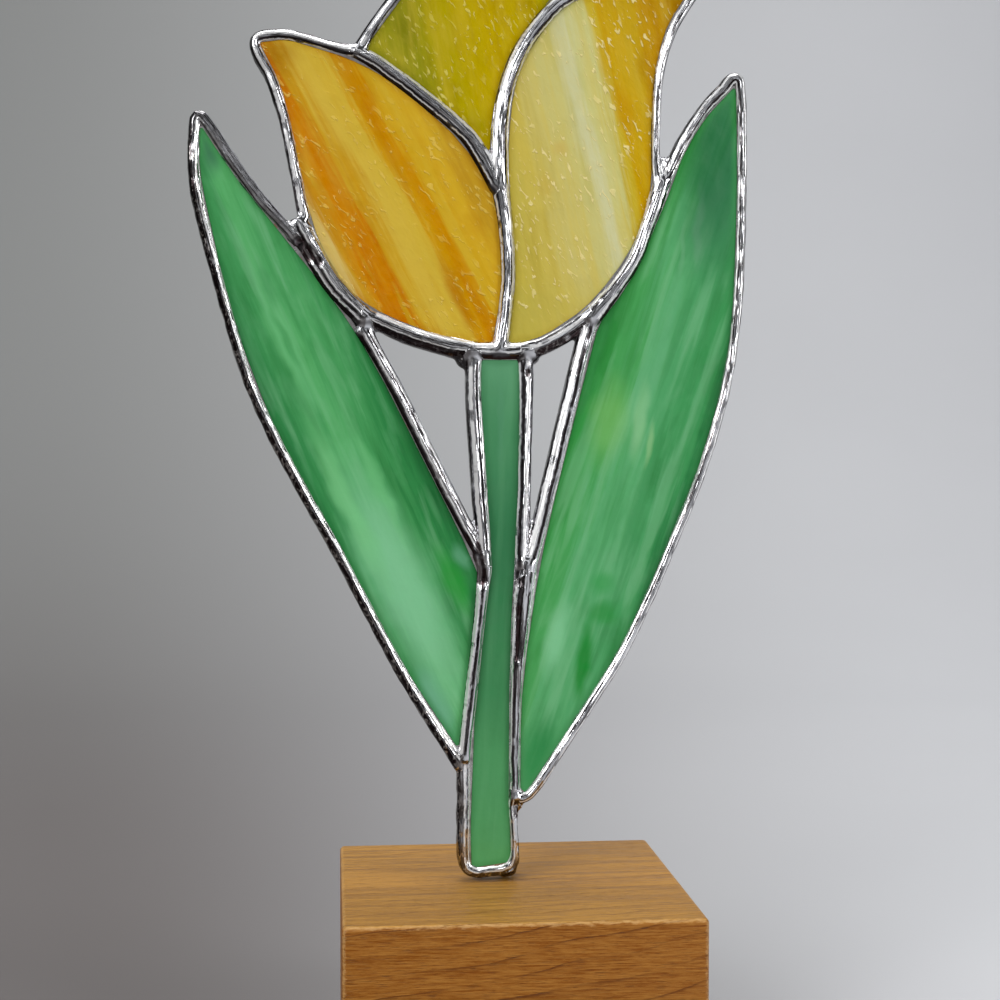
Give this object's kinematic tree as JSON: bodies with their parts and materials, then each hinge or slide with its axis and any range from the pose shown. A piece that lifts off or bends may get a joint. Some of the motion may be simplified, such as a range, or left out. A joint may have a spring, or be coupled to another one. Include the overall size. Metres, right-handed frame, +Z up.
{
  "type": "stained glass tulip",
  "caption": "Tulip of foiled, soldered opalescent glass panes standing upright on a rod set in an oak block; a tabletop ornament.",
  "frame": {"origin": "centre of the block's underside, on the surface it stands on", "axes": "+Z up along the stem, +X across the flower towards the taller leaf, the flower faces -Y"},
  "size_m": [0.1065, 0.065, 0.2246],
  "materials": {
    "oak": "sanded oak, satin",
    "steel_rod": "drawn rod, tinned",
    "copper_foil": "bright copper foil",
    "solder": "bright lumpy solder",
    "amber_glass": "streaky opalescent, rippled",
    "cream_glass": "wispy opalescent, rippled",
    "olive_glass": "streaky opalescent, rippled",
    "green_glass": "wispy opalescent, smooth and glossy",
    "deep_green_glass": "wispy opalescent, smooth and glossy",
    "sea_glass": "dense opalescent, satin"
  },
  "bodies": {
    "block": {"oak_block": "oak"},
    "flower": {"support_rod": "steel_rod", "rod_solder_foot": "solder", "rod_solder_top": "solder", "left_leaf_glass": "green_glass", "right_leaf_glass": "deep_green_glass", "left_petal_glass": "amber_glass", "right_petal_glass": "cream_glass", "back_petal_glass": "olive_glass", "stem_glass": "sea_glass", "left_leaf_foil": "copper_foil", "right_leaf_foil": "copper_foil", "left_petal_foil": "copper_foil", "right_petal_foil": "copper_foil", "back_petal_foil": "copper_foil", "stem_foil": "copper_foil", "seam_left_petal_right_petal": "solder", "seam_left_petal_back_petal": "solder", "seam_back_petal_right_petal": "solder", "seam_left_petal_stem": "solder", "seam_right_petal_stem": "solder", "seam_left_leaf_left_petal": "solder", "seam_left_leaf_stem": "solder", "seam_right_petal_right_leaf": "solder", "seam_right_leaf_stem": "solder", "back_petal_rim": "solder", "left_petal_outer_rim": "solder", "left_petal_lower_rim": "solder", "right_petal_outer_rim": "solder", "right_petal_lower_rim": "solder", "left_leaf_outer_rim": "solder", "left_leaf_inner_rim": "solder", "right_leaf_outer_rim": "solder", "right_leaf_inner_rim": "solder", "stem_left_rim": "solder", "stem_right_rim": "solder", "stem_foot_rim": "solder"}
  },
  "joints": [
    {"name": "flower_turn", "type": "hinge", "parent": "block", "child": "flower", "pos_m": [0, 0.00408, 0.04], "axis": [0, 0, 1], "continuous": true}
  ]
}
